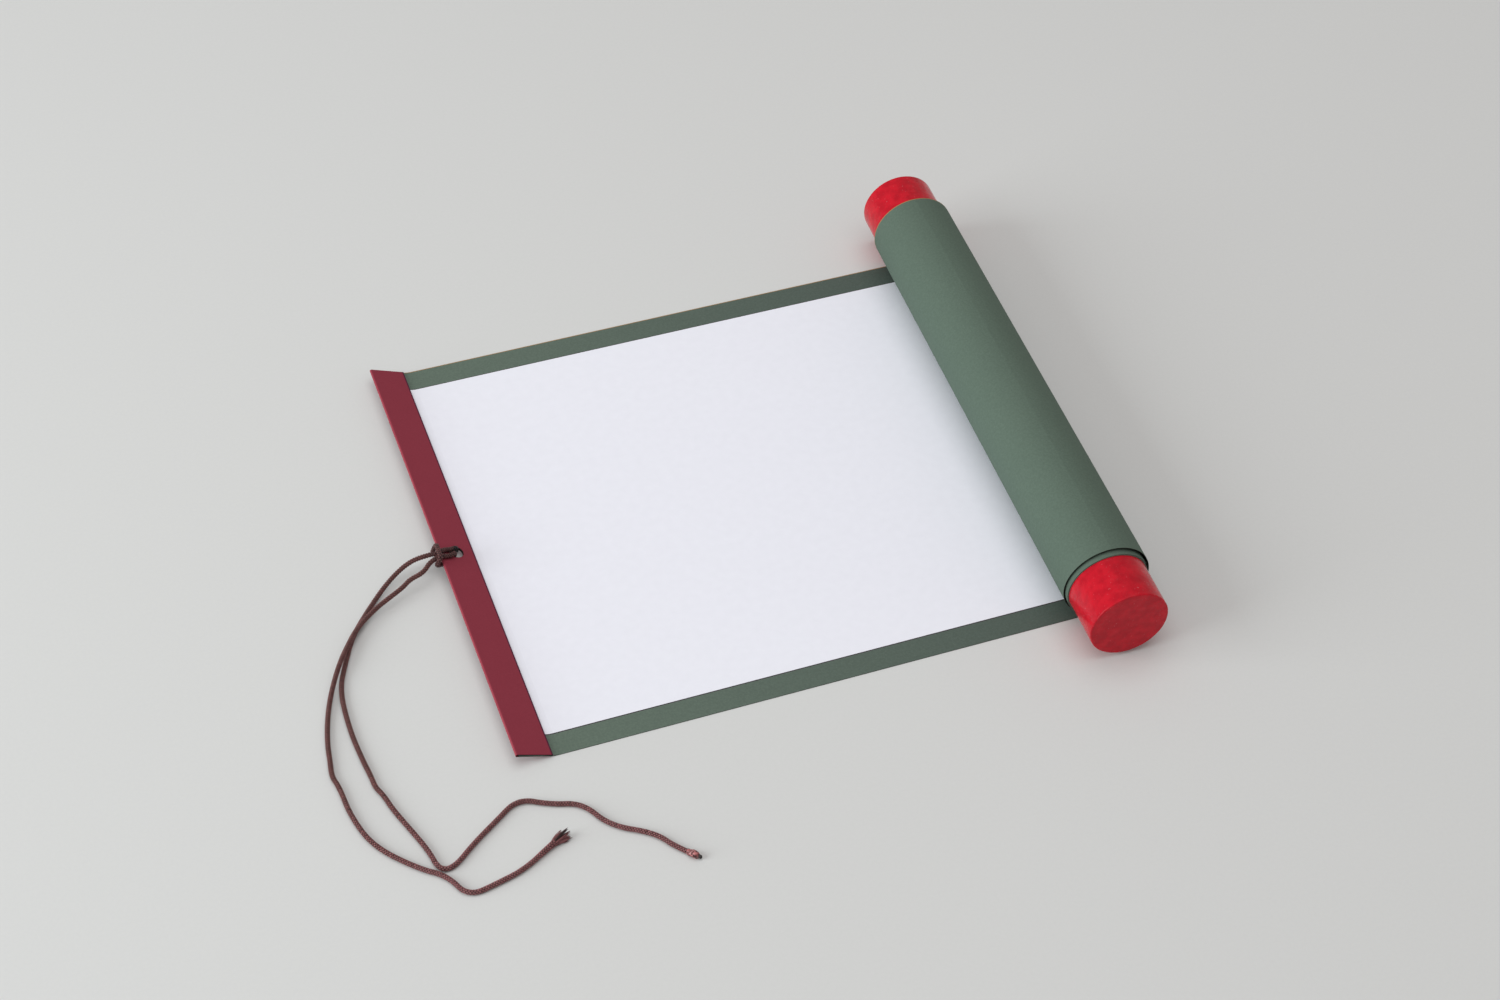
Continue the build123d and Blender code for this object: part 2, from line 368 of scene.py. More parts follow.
def braid(name, line, opening=0.0):
    """A round braid of eight strands along a line, and the points that it follows.

    Over its last stretch, as long as opening, it gets up to two fifths thicker.
    """
    places = evenly(line, BRAID_STEP)
    swells = []
    for number, place in enumerate(places):
        left = (len(places) - 1 - number) * BRAID_STEP
        opened = max(0.0, 1 - left / opening) ** OPENED_CURVE if opening else 0.0
        swells.append(1 + OPENED_SHARE * opened)
        place.z += CORD_DIAMETER / 2 * (swells[-1] - 1)
    frames = untwisted(places)
    parts = ([], [], [])
    core = places[::CORE_EVERY] + places[-1:]
    core_out = [across for across, _ in frames[::CORE_EVERY] + frames[-1:]]
    lowest = [1.0] * len(core)
    add_tube(parts, core, core_out, CORE_RADIUS, CORE_RADIUS, sides=CORE_SIDES, lifts=lowest)
    for way in (1, -1):
        for strand in range(STRANDS_EACH_WAY):
            centres = []
            outwards = []
            lifts = []
            for number, (place, (across, up)) in enumerate(zip(places, frames)):
                winds = number * BRAID_STEP / WIND
                turn = strand / STRANDS_EACH_WAY + way * winds
                lifts.append(STRANDS_EACH_WAY * 2 * winds + (way < 0))
                swing = math.cos(math.pi * lifts[-1])
                uneven = UNEVEN_SHARE * noise.noise(place / MM * UNEVEN_COUNT)
                out = across * math.cos(math.tau * turn) + up * math.sin(math.tau * turn)
                reach = (STRAND_RADIUS * (1 + uneven) + STRAND_SWING * swing) * swells[number]
                centres.append(place + out * reach)
                outwards.append(out)
            add_tube(parts, centres, outwards, STRAND_HALF_THICK, STRAND_HALF_WIDE, lifts=lifts)
    piece = strands_object(name, parts)
    print(name, "triangles", sum(len(face.vertices) - 2 for face in piece.data.polygons))
    return piece, places


print("points of a strand to a full wind", round(WIND / BRAID_STEP))

# %% [markdown]
# ## The cord's pieces
#
# Both tails stop a little short of the ends of their lines, because the last few millimetres
# are another form: a frayed brush on one, a melted tip on the other.

# %% Tails and hitch
BRUSH_LENGTH = 7.0 * MM
TIP_LENGTH = 6.4 * MM
OPENING = 14 * MM
CUT_STEP = 0.1 * MM


def cut_short(line, length):
    """A line without its last stretch, and that stretch."""
    places = evenly(line, CUT_STEP)
    keep = len(places) - round(length / CUT_STEP)
    return places[:keep], places[keep - 1:]


frayed_body, brush_line = cut_short(frayed_line, BRUSH_LENGTH)
sealed_body, tip_line = cut_short(sealed_line, TIP_LENGTH)
frayed_tail, frayed_places = braid("frayed_tail", frayed_body, OPENING)
sealed_tail, sealed_places = braid("sealed_tail", sealed_body)
hitch, _ = braid("hitch", hitch_line)

# %% [markdown]
# ## The frayed end
#
# Where the cord was cut and not sealed, the braid has let go and its strands have spread into a
# little brush. A particle system could grow it, but a hundred fibres made in a loop are easier to
# steer. Each strand becomes a tuft with its own heading, length, rise and shade, listed so that the
# brush fans out as the real one does. The fibres of a tuft start together, bow outwards and come
# together again at the tip. Real fibres are about 0.02 mm thick. These are drawn twelve times that,
# or they would vanish in the picture.

# %% Tufts
FIBRES_PER_TUFT = 14
FIBRE_RADIUS = 0.12 * MM
FIBRE_SIDES = 5
FIBRE_BENDS = 9
# Each tuft's heading from the cord's own in degrees, its length in millimetres, how far its tip
# lies above the table, and how dark it is painted, from 0 to 0.5: the middle tufts darker, as shade
TUFTS = [
    (24, 5.2, 1.6, 0.08), (16, 5.9, 0.6, 0.30), (6, 6.7, 2.7, 0.40), (-2, 6.9, 1.1, 0.34),
    (-9, 6.0, 2.1, 0.20), (-16, 6.4, 0.9, 0.36), (-23, 5.4, 1.7, 0.08), (-29, 4.8, 0.5, 0.25),
]
ROOT_RISE = 0.3 * MM
# The tufts start inside the braid, in a ring
FOOT_DEPTH = 1.5 * MM
FOOT_RING = 0.85 * MM
# How far the fibres of one tuft spread at its foot and at its tip
FOOT_SPREAD = 0.28
TIP_SPREAD = 0.42 * MM
# The least and most of a fibre's reach beside its tuft's, of its bow and of its change of shade
REACH = (0.86, 1.06)
BOW = (0.2, 0.55)
SHADE = (-0.15, 0.10)
UP = Vector((0, 0, 1))
UPWARD_BOW = UP * 0.35 * MM
print("fibres", len(TUFTS) * FIBRES_PER_TUFT)

# %% Frayed brush


def frayed_brush(name, line, seed):
    """Tufts of loose fibres that carry on from the end of a braid."""
    chance = random.Random(seed)
    root = line[0] + UP * ROOT_RISE
    axis = (line[-1] - line[0]).normalized()
    left = UP.cross(axis).normalized()
    parts = ([], [], [])
    for number, (heading_off, length, rise, tuft_shade) in enumerate(TUFTS):
        turn = math.radians(heading_off)
        tip = root + (axis * math.cos(turn) + left * math.sin(turn)) * length * MM
        tip.z = rise * MM
        around = math.tau * number / len(TUFTS)
        beside = left * math.cos(around) + UP * math.sin(around)
        foot = root - axis * FOOT_DEPTH + beside * FOOT_RING
        for fibre in range(FIBRES_PER_TUFT):
            start = foot + Vector([chance.uniform(-FOOT_SPREAD, FOOT_SPREAD) for _ in range(3)]) * MM
            spot = Vector([chance.uniform(-1, 1) for _ in range(3)])
            finish_at = foot.lerp(tip, chance.uniform(*REACH)) + spot * TIP_SPREAD
            bow = spot * chance.uniform(*BOW) * MM + UPWARD_BOW
            centres = []
            for bend in range(FIBRE_BENDS + 1):
                share = bend / FIBRE_BENDS
                place = start.lerp(finish_at, share) + bow * math.sin(math.pi * share)
                place.z = max(place.z, FIBRE_RADIUS)
                centres.append(place)
            outwards = [UP] * len(centres)
            # The middle tufts are painted darker, as shade
            shades = [max(0.0, tuft_shade + chance.uniform(*SHADE))] * len(centres)
            add_tube(parts, centres, outwards, FIBRE_RADIUS, FIBRE_RADIUS, FIBRE_SIDES, shades)
    return strands_object(name, parts)


brush = frayed_brush("frayed_brush", brush_line, seed=4)
print("brush faces", len(brush.data.polygons))

# %% [markdown]
# ## The sealed end
#
# The other end was held in a flame so that it can't fray. The strands have melted together into a
# bulb two fifths wider than the cord, which narrows to a small burnt nub. It is turned from a
# profile, as on a lathe. Ridges that wind slowly round it are what is left of the strands, and
# smooth noise pushes it in and out.

# %% Melted tip
# Shares of the tip's length, and the radius there in millimetres
TIP_PROFILE = [
    (0.00, 1.08), (0.10, 1.14), (0.22, 1.32), (0.36, 1.48), (0.52, 1.52), (0.64, 1.44),
    (0.73, 1.16), (0.80, 0.82), (0.86, 0.76), (0.93, 0.74), (0.98, 0.50), (1.00, 0.20),
]
TIP_SIDES = 48
TIP_RINGS = 44
TIP_RIDGES = 4
# A thick bulb lies on its underside, so its middle rises by this share of what it is thicker
TIP_RISE = 0.8
TIP_TWIST = 1.6
# The ridges' height as a share of the radius
RIDGE_HEIGHT = 0.08
# How many lumps there are to a millimetre, and their height as a share of the radius
TIP_LUMPS = ((0.75, 0.16), (1.9, 0.10))


def profile_radius(profile, share):
    """The radius at a share of a profile's length, between its two nearest points."""
    for (low, low_radius), (high, high_radius) in zip(profile, profile[1:]):
        if share <= high:
            blend = (share - low) / (high - low)
            # Eases out of one point and into the next
            blend = blend * blend * (3 - 2 * blend)
            return low_radius + (high_radius - low_radius) * blend
    return profile[-1][1]


def melted_tip(name, line):
    """A lumpy bulb round the last stretch of a cord."""
    places = evenly(line, length_of(line) / TIP_RINGS)
    corners = []
    for ring, (place, (across, up)) in enumerate(zip(places, untwisted(places))):
        share = ring / (len(places) - 1)
        radius = profile_radius(TIP_PROFILE, share) * MM
        middle = place + UP * TIP_RISE * max(0.0, radius - CORD_DIAMETER / 2)
        for side in range(TIP_SIDES):
            angle = math.tau * side / TIP_SIDES
            out = across * math.cos(angle) + up * math.sin(angle)
            spot = (middle + out * radius) / MM
            lumps = sum(noise.noise(spot * number) * height for number, height in TIP_LUMPS)
            lumps += math.cos(TIP_RIDGES * (angle + TIP_TWIST * share)) * RIDGE_HEIGHT
            corner = middle + out * radius * (1 + lumps)
            corner.z = max(corner.z, 0.0)
            corners.append(corner)
    faces = ring_faces(0, len(places), TIP_SIDES) + end_faces(0, len(places), TIP_SIDES)
    return new_piece(name, corners, faces)


tip_piece = melted_tip("sealed_tip", tip_line)
print("tip faces", len(tip_piece.data.polygons))

# %% [markdown]
# ## The knobs
#
# Each knob was turned from a round bar of wood, and its edge was broken with sandpaper before it
# was painted, so it has no sharp rim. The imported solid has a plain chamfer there. A lathe profile
# swept round the roll's axis gives the real rounded rim, and a thin bead of paint where the knob
# meets the paper. A little noise in the radius stands for the paint, which is thicker in some
# places than in others.
#
# The roll lies slightly askew on the sheet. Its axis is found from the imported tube: the middle of
# the tube's box is the middle of its axis, and the knobs' boxes give where their faces are.

# %% Where the knobs are
ROLL_SKEW = math.radians(2.35)
ROLL_AXIS = Vector((-math.sin(ROLL_SKEW), -math.cos(ROLL_SKEW), 0))
tube_low, tube_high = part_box("roller_tube")
TUBE_MIDDLE = (tube_low + tube_high) / 2
TUBE_RADIUS = (tube_high.z - tube_low.z) / 2
# How far the tilt of its round end makes the tube's box longer than its axis, at each end
side_reach = TUBE_RADIUS * math.sin(ROLL_SKEW)
TUBE_HALF = ((tube_high.y - tube_low.y) / 2 - side_reach) / math.cos(ROLL_SKEW)
print("tube", round(2 * TUBE_HALF / MM, 2), "mm long,", round(2 * TUBE_RADIUS / MM, 2), "across")

# %% A knob's profile
SPIGOT_LENGTH = 9.6 * MM
SPIGOT_RADIUS = TUBE_RADIUS - 1.6 * MM
SPIGOT_EDGE = 0.4 * MM
PAINT_BEAD = 0.08 * MM
PAINT_BEAD_LENGTH = 0.2 * MM
BODY_START = 0.5 * MM
BODY_TAPER = 0.04 * MM
BODY_RINGS = 24
RIM_ROUNDING = 0.6 * MM
RIM_RINGS = 8
KNOB_SIDES = 192
FACE_RINGS = (0.9, 0.75, 0.55, 0.35, 0.15, 0.0)
# How many patches of thinner paint there are to a millimetre, and how deep they are
PAINT_PATCHES = ((0.22, 0.05), (0.6, 0.02))


def knob_profile(length):
    """Distances along the axis from the shoulder and radii, from inside the tube to the face."""
    bead = TUBE_RADIUS + PAINT_BEAD
    profile = [(-SPIGOT_LENGTH, 0.0), (-SPIGOT_LENGTH, SPIGOT_RADIUS - SPIGOT_EDGE)]
    profile += [(SPIGOT_EDGE - SPIGOT_LENGTH, SPIGOT_RADIUS), (0.0, SPIGOT_RADIUS)]
    profile += [(0.0, bead), (PAINT_BEAD_LENGTH, bead)]
    for number in range(1, BODY_RINGS + 1):
        share = number / BODY_RINGS
        along = BODY_START + (length - RIM_ROUNDING - BODY_START) * share
        profile.append((along, TUBE_RADIUS - BODY_TAPER * share ** 2))
    rim = TUBE_RADIUS - BODY_TAPER - RIM_ROUNDING
    for number in range(1, RIM_RINGS + 1):
        angle = math.radians(90 * number / RIM_RINGS)
        along = length - RIM_ROUNDING * (1 - math.sin(angle))
        profile.append((along, rim + RIM_ROUNDING * math.cos(angle)))
    for share in FACE_RINGS:
        profile.append((length, rim * share))
    return profile


print("points in the profile", len(knob_profile(10 * MM)))

# %% Turned knobs


def turned_knob(name, node, side):
    """A painted knob on the near end of the roll where side is 1, or on the far end for -1."""
    low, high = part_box(node)
    outer_y = low.y if side > 0 else high.y
    face = (abs(TUBE_MIDDLE.y - outer_y) - side_reach) / math.cos(ROLL_SKEW)
    axis = ROLL_AXIS * side
    shoulder = TUBE_MIDDLE + axis * TUBE_HALF
    level = axis.cross(UP).normalized()
    profile = knob_profile(face - TUBE_HALF)
    corners = [shoulder + axis * profile[0][0]]
    for along, radius in profile[1:-1]:
        for number in range(KNOB_SIDES):
            angle = math.tau * number / KNOB_SIDES
            out = level * math.cos(angle) + UP * math.sin(angle)
            place = shoulder + axis * along + out * radius
            paint = sum(noise.noise(place / MM * count) * depth for count, depth in PAINT_PATCHES)
            corners.append(place + out * min(paint, 0.0) * MM)
    corners.append(shoulder + axis * profile[-1][0])
    rings = len(profile) - 2
    faces = ring_faces(1, rings, KNOB_SIDES)
    last_ring = 1 + (rings - 1) * KNOB_SIDES
    for number in range(KNOB_SIDES):
        beside = (number + 1) % KNOB_SIDES
        faces.append((0, 1 + beside, 1 + number))
        faces.append((last_ring + number, last_ring + beside, len(corners) - 1))
    return new_piece(name, corners, faces)


near_knob = turned_knob("near_knob", "end_knob_near", 1)
far_knob = turned_knob("far_knob", "end_knob_far", -1)
print("knob faces", len(near_knob.data.polygons))

# %% [markdown]
# ## Materials
#
# Every finish starts from what the real one is. Colours are written as sRGB hex values, as a
# colour picker shows them, and one function turns them into the linear values that the shaders
# want. One more function adds a node with its settings and links and hands on its result, which
# keeps each material short enough to read in one go. A finish is then a ground colour with other
# colours laid over it, each through a mask: a value that is 1 where the colour lies, 0 elsewhere
# and in between where it fades out.
#
# Paper, oil paint and rayon all have an IOR near 1.5, and each finish starts there. Where a
# surface came out greyer than the real one, it was lowered until the gloss matched.

# %% Material helpers


def linear(hex_colour):
    """A linear RGBA colour from an sRGB hex value such as #C8102E."""
    channels = []
    for start in (1, 3, 5):
        value = int(hex_colour[start:start + 2], 16) / 255
        channels.append(value / 12.92 if value <= 0.04045 else ((value + 0.055) / 1.055) ** 2.4)
    return (*channels, 1.0)


def add(material, kind, inputs=None, result=None, **settings):
    """Adds a node and returns its first output, or the one that result names.

    An input given as a socket is linked, a hex value is made linear and any other is set as it
    is. Some nodes have several sockets of one name, of which their settings enable one.
    """
    node = material.node_tree.nodes.new("ShaderNode" + kind)
    for name, value in settings.items():
        setattr(node, name, value)
    for name, value in (inputs or {}).items():
        if isinstance(name, int):
            socket = node.inputs[name]
        else:
            socket = next(one for one in node.inputs if one.enabled and one.name == name)
        if isinstance(value, bpy.types.NodeSocket):
            material.node_tree.links.new(value, socket)
        else:
            socket.default_value = linear(value) if isinstance(value, str) else value
    return next(one for one in node.outputs if one.enabled and result in (None, one.name))


def new_material(name):
    """An empty material with its shader, and the object's own coordinates in metres."""
    material = bpy.data.materials.new(name)
    material.use_nodes = True
    shader = material.node_tree.nodes["Principled BSDF"]
    return material, shader, add(material, "TexCoord", result="Object")


def per(size):
    """The scale of a noise texture whose patches are about this size in metres."""
    return 1 / size


def layered(material, ground, layers):
    """A ground colour with other colours laid over it in turn, each through its mask."""
    for mask, over in layers:
        inputs = {"Factor": mask, "A": ground, "B": over}
        ground = add(material, "Mix", inputs, data_type="RGBA")
    return ground


def finish(material, shader, colour, height, depth, **values):
    """Links a colour and a bump to a material's shader and sets its other values."""
    bump = add(material, "Bump", {"Height": height, "Distance": depth, "Strength": 1.0})
    material.node_tree.links.new(colour, shader.inputs["Base Color"])
    material.node_tree.links.new(bump, shader.inputs["Normal"])
    for name, value in values.items():
        shader.inputs[name].default_value = value
    print(material.name, len(material.node_tree.nodes), "nodes")
    return material


print("middle grey is", round(linear("#808080")[0], 3), "as a linear value")

# %% [markdown]
# ## Masks for places
#
# Painted shade and painted highlights lie in places: on the cut edges, on the wall of the punched
# hole, and along the rims. Such a mask is worked out from where a point lies on the imported solids
# and which way it looks. An image painted by hand could say the same, but these stay sharp at any
# distance.

# %% Masks for places
# A face looks along Y if its normal has more than this share of it
CUT_EDGE = 0.93
HOLE_MIDDLE = on_strip(0.0083, -0.0015, 0.0004)
# A hair more than the hole's own radius
HOLE_RADIUS = 3.4 * MM


def distance_along(material, place, start, direction):
    """How far a place lies from a start in one direction, in metres."""
    beside = add(material, "VectorMath", {0: place, 1: start}, operation="SUBTRACT")
    return add(material, "VectorMath", {0: beside, 1: direction}, operation="DOT_PRODUCT")


def near_edges(material):
    """1 on cut edges that look towards the near side."""
    normal = add(material, "TexCoord", result="Normal")
    along_y = add(material, "SeparateXYZ", {"Vector": normal}, result="Y")
    return add(material, "Math", {0: along_y, 1: -CUT_EDGE}, operation="LESS_THAN")


def in_hole(material, place):
    """1 on the wall of the punched hole and on what lies in it."""
    away = add(material, "VectorMath", {0: place, 1: HOLE_MIDDLE}, operation="DISTANCE")
    return add(material, "Math", {0: away, 1: HOLE_RADIUS}, operation="LESS_THAN")


print("hole at", [round(value, 4) for value in HOLE_MIDDLE])

# %% [markdown]
# ## Dyed felt-finish paper
#
# The green backing is thick uncoated paper, dyed in the pulp and dried against a felt, like sugar
# paper. The felt leaves a soft mottle about a millimetre across, and short fibres show as paler
# flecks. Nothing shines. Real fibres are finer than the picture can show, so they are drawn
# about 0.5 mm wide.
#
# The flat sheet is painted darker towards the roll, as shade. Its cut edges that face the near
# side are painted dark, as shade, apart from those of the inner turns, which are a pale grey-green.
# The far rim is painted pale tan: partly the paper's paler core, and partly a painted highlight
# where the cut edge catches the light. A thin dark line of painted shadow follows each long side
# of the white sheet, and the wall of the punched hole is painted almost black, as shade. The flat
# sheet and the roll don't lie in one line, so a mask for a rim has one part for each.

# %% Green backing paper
# Distances from the part's middle, and along the roll from the tube's middle
WRITING_MIDDLE = 1.6 * MM
WRITING_HALF = 104.9 * MM
FLAT_FAR_RIM = 118.6 * MM
ROLL_FAR_RIM = 118.7 * MM
INNER_TURNS = 116 * MM
EDGE_LINE = 0.4 * MM


def green_paper():
    material, shader, place = new_material("dyed_felt_finish_paper")
    mottle = add(material, "TexNoise", {"Vector": place, "Scale": per(0.9 * MM), "Detail": 4.0})
    fibres = add(material, "TexNoise", {"Vector": place, "Scale": per(0.45 * MM), "Detail": 3.0})
    clouds = add(material, "TexNoise", {"Vector": place, "Scale": per(30 * MM), "Detail": 2.0})
    x, y, z = (add(material, "SeparateXYZ", {"Vector": place}, result=axis) for axis in "XYZ")
    # Painted shade: the flat sheet gets darker towards the roll
    roll_shade = add(material, "MapRange", {"Value": x, "From Min": -0.12, "From Max": 0.09})
    wound = add(material, "MapRange", {"Value": z, "From Min": 1 * MM, "From Max": 3 * MM})
    colour = layered(material, "#657469", [(roll_shade, "#545F59"), (wound, "#5C6C61")])

    grain = add(material, "MapRange", {"Value": mottle, "From Min": 0.35, "From Max": 0.65})
    darker = add(material, "HueSaturation", {"Color": colour, "Value": 0.93})
    lighter = add(material, "HueSaturation", {"Color": colour, "Value": 1.06})
    flecks = {"Value": fibres, "From Min": 0.62, "From Max": 0.80, "To Max": 0.25}
    flecks = add(material, "MapRange", flecks)
    patches = add(material, "MapRange", {"Value": clouds, "To Max": 0.14})

    # A thin painted shadow line along each long side of the white sheet, off the roll
    aside = add(material, "Math", {0: y, 1: WRITING_MIDDLE}, operation="SUBTRACT")
    aside = add(material, "Math", {0: aside}, operation="ABSOLUTE")
    white_edge_shadow = add(material, "Math", {0: aside, 1: WRITING_HALF + EDGE_LINE}, operation="LESS_THAN")
    white_edge_shadow = add(material, "Mix", {"Factor": wound, "A": white_edge_shadow, "B": 0.0})
    along = distance_along(material, place, TUBE_MIDDLE, -ROLL_AXIS)
    # The far rim: partly the paper's paler core, partly a painted highlight of the lit cut edge
    flat_rim = {0: y, 1: FLAT_FAR_RIM - EDGE_LINE}
    flat_rim = add(material, "Math", flat_rim, operation="GREATER_THAN")
    roll_rim = {0: along, 1: ROLL_FAR_RIM - EDGE_LINE}
    roll_rim = add(material, "Math", roll_rim, operation="GREATER_THAN")
    pale_core_lit_rim = add(material, "Mix", {"Factor": wound, "A": flat_rim, "B": roll_rim})
    inner = add(material, "Math", {0: along, 1: -INNER_TURNS}, operation="LESS_THAN")
    inner = add(material, "Mix", {"Factor": wound, "A": 0.0, "B": inner})
    # Painted shade: near cut edges dark, apart from the inner turns' pale grey-green edges
    shaded_cut_edge = layered(material, "#26211E", [(inner, "#6E7C74")])

    colour = layered(material, darker, [
        (grain, lighter),
        (flecks, "#809086"),
        (patches, "#4B5C53"),
        (white_edge_shadow, "#443A40"),
        (pale_core_lit_rim, "#9A7A52"),
        (near_edges(material), shaded_cut_edge),
        # Painted shade: the wall of the punched hole almost black
        (in_hole(material, place), "#080606"),
    ])
    return finish(material, shader, colour, fibres, 0.02 * MM, Roughness=0.9, IOR=1.25)


backing_finish = green_paper()

# %% [markdown]
# ## Wood-free copy paper
#
# The writing sheet is smooth office paper. It is rolled between steel cylinders at the mill, so
# its surface is even, and a brightener makes its white slightly blue. Only a faint cloudiness
# shows, from the way the fibres clump, a few millimetres across. Its cut edges that face the near
# side are painted dark, as shade.

# %% White writing paper


def white_paper():
    material, shader, place = new_material("wood_free_copy_paper")
    clumps = add(material, "TexNoise", {"Vector": place, "Scale": per(4 * MM), "Detail": 5.0})
    grain = add(material, "TexNoise", {"Vector": place, "Scale": per(0.4 * MM), "Detail": 2.0})
    # The cut edges that face the near side are painted dark, as shade
    layers = [(clumps, "#F2F3FD"), (near_edges(material), "#4A4048")]
    colour = layered(material, "#ECEDF7", layers)
    return finish(material, shader, colour, grain, 0.006 * MM, Roughness=0.75, IOR=1.35)


writing_finish = white_paper()

# %% [markdown]
# ## Maroon strip with a worn fold and a painted highlight
#
# The strip is dyed paper too, but harder and smoother. Where it is folded, the dyed skin has
# cracked along the fibres and been rubbed, and the fold catches the light, so a thin brighter line
# runs along the fold: partly wear and partly painted highlight. It is laid on where the distance
# along the tilted strip comes near the fold, and noise breaks it up. Along the inner edge, a thin
# dark purple line is painted shade, and the near cut edges and the hole are painted almost black,
# as shade.

# %% Maroon strip paper
STRIP_START = on_strip(0, 0, 0)
FOLD_FROM = 15.6 * MM
FOLD_TO = 16.0 * MM
# The painted shade line is full up to the first distance from the inner edge, and gone by the second
SHADE_LINE_FULL = 0.35 * MM
SHADE_LINE_GONE = 0.8 * MM


def maroon_paper():
    material, shader, place = new_material("dyed_strip_paper")
    fine = add(material, "TexNoise", {"Vector": place, "Scale": per(0.7 * MM), "Detail": 4.0})
    clouds = add(material, "TexNoise", {"Vector": place, "Scale": per(9 * MM), "Detail": 2.0})
    patches = add(material, "MapRange", {"Value": clouds, "To Max": 0.25})
    along = distance_along(material, place, STRIP_START, STRIP_ALONG)
    fold = add(material, "MapRange", {"Value": along, "From Min": FOLD_FROM, "From Max": FOLD_TO})
    # The fold's brighter line is partly wear and partly painted highlight; noise breaks it up
    fold_breaks = {"Value": clouds, "From Min": 0.3, "From Max": 0.6, "To Min": 0.45}
    fold_breaks = add(material, "MapRange", fold_breaks)
    worn_and_lit = add(material, "Math", {0: fold, 1: fold_breaks}, operation="MULTIPLY")
    # A thin dark purple line of painted shade along the inner edge
    line = {"Value": along, "From Min": SHADE_LINE_FULL, "From Max": SHADE_LINE_GONE}
    line = add(material, "MapRange", line | {"To Min": 0.8, "To Max": 0.0})
    colour = layered(material, "#842D3D", [
        (fine, "#963848"),
        (patches, "#7F2938"),
        (worn_and_lit, "#A44752"),
        (line, "#2E0F33"),
        # Painted shade: near black on the cut edges that face the near side and in the hole
        (near_edges(material), "#1E080D"),
        (in_hole(material, place), "#0B0506"),
    ])
    return finish(material, shader, colour, fine, 0.012 * MM, Roughness=0.7, IOR=1.3)


strip_finish = maroon_paper()

# %% [markdown]
# ## Cardboard of the roller tube
#
# The tube can't be seen between its turns of paper and the knobs, but it is grey-brown wound
# board like any posting tube, and gets that finish.

# %% Tube board


def tube_board():
    material, shader, place = new_material("spiral_wound_board")
    pulp = add(material, "TexNoise", {"Vector": place, "Scale": per(0.8 * MM), "Detail": 5.0})
    colour = layered(material, "#8E7A62", [(pulp, "#A8937A")])
    return finish(material, shader, colour, pulp, 0.03 * MM, Roughness=0.9)


board_finish = tube_board()

# %% [markdown]
# ## Brushed enamel on the knobs
#
# The knobs wear one coat of red oil enamel put on with a small brush. It is glossy, but it dried
# before it had levelled, so the surface is uneven in three ways: dabs of a few millimetres, a
# finer stipple, and bristle marks that run along the roll. The gloss turns these into broken
# streaks of light. Pale pink specks are painted glints.

# %% Red enamel
# The pattern's scale along X, Y and Z: bristle marks are eight times as long along the roll
BRISTLE_STRETCH = (1.0, 0.12, 1.0)
# Their height beside that of the dabs
BRISTLE_HEIGHT = 0.35


def red_enamel():
    material, shader, place = new_material("brushed_red_enamel")
    dabs = add(material, "TexNoise", {"Vector": place, "Scale": per(4 * MM), "Detail": 4.0})
    drawn_out = add(material, "Mapping", {"Vector": place, "Scale": BRISTLE_STRETCH})
    bristles = {"Vector": drawn_out, "Scale": per(0.9 * MM), "Detail": 3.0}
    bristles = add(material, "TexNoise", bristles)
    stipple = add(material, "TexNoise", {"Vector": place, "Scale": per(1.8 * MM), "Detail": 3.0})
    glint_noise = add(material, "TexNoise", {"Vector": place, "Scale": per(0.8 * MM), "Detail": 1.0})
    thick = add(material, "MapRange", {"Value": dabs, "From Min": 0.36, "From Max": 0.64})
    # Pale pink specks are painted glints
    painted_glints = {"Value": glint_noise, "From Min": 0.72, "From Max": 0.80, "To Max": 0.4}
    painted_glints = add(material, "MapRange", painted_glints)
    colour = layered(material, "#B20F22", [(thick, "#C61628"), (painted_glints, "#D98A90")])
    height = add(material, "Math", {0: bristles, 1: BRISTLE_HEIGHT}, operation="MULTIPLY")
    for more in (dabs, stipple):
        height = add(material, "Math", {0: height, 1: more}, operation="ADD")
    return finish(material, shader, colour, height, 0.15 * MM, Roughness=0.22, IOR=1.27)


enamel = red_enamel()

# %% [markdown]
# ## Rayon braid
#
# The cord is braided from rayon, a silky yarn dyed dark brown. Each strand is a bundle of long
# parallel filaments. Its colour is painted lighter where the strand lies on top, as light, and
# almost black where it dives under another and on the core, as painted shade. The UV map of the
# tubes says both: U goes round a strand, for the stripes of the filaments, and V says how high it
# lies. Real filaments are 0.02 mm thick. They are drawn as nine stripes round each strand, to show
# at all.
#
# Towards the near side the thread is painted lighter, as sheen. Round the hitch it is painted
# darker, as shade, and in the hole almost black, as shade.

# %% Brown rayon
# How many stripes there are round a strand, and along it for each crossing
FILAMENT_STRIPES = (9.0, 0.4, 1.0)


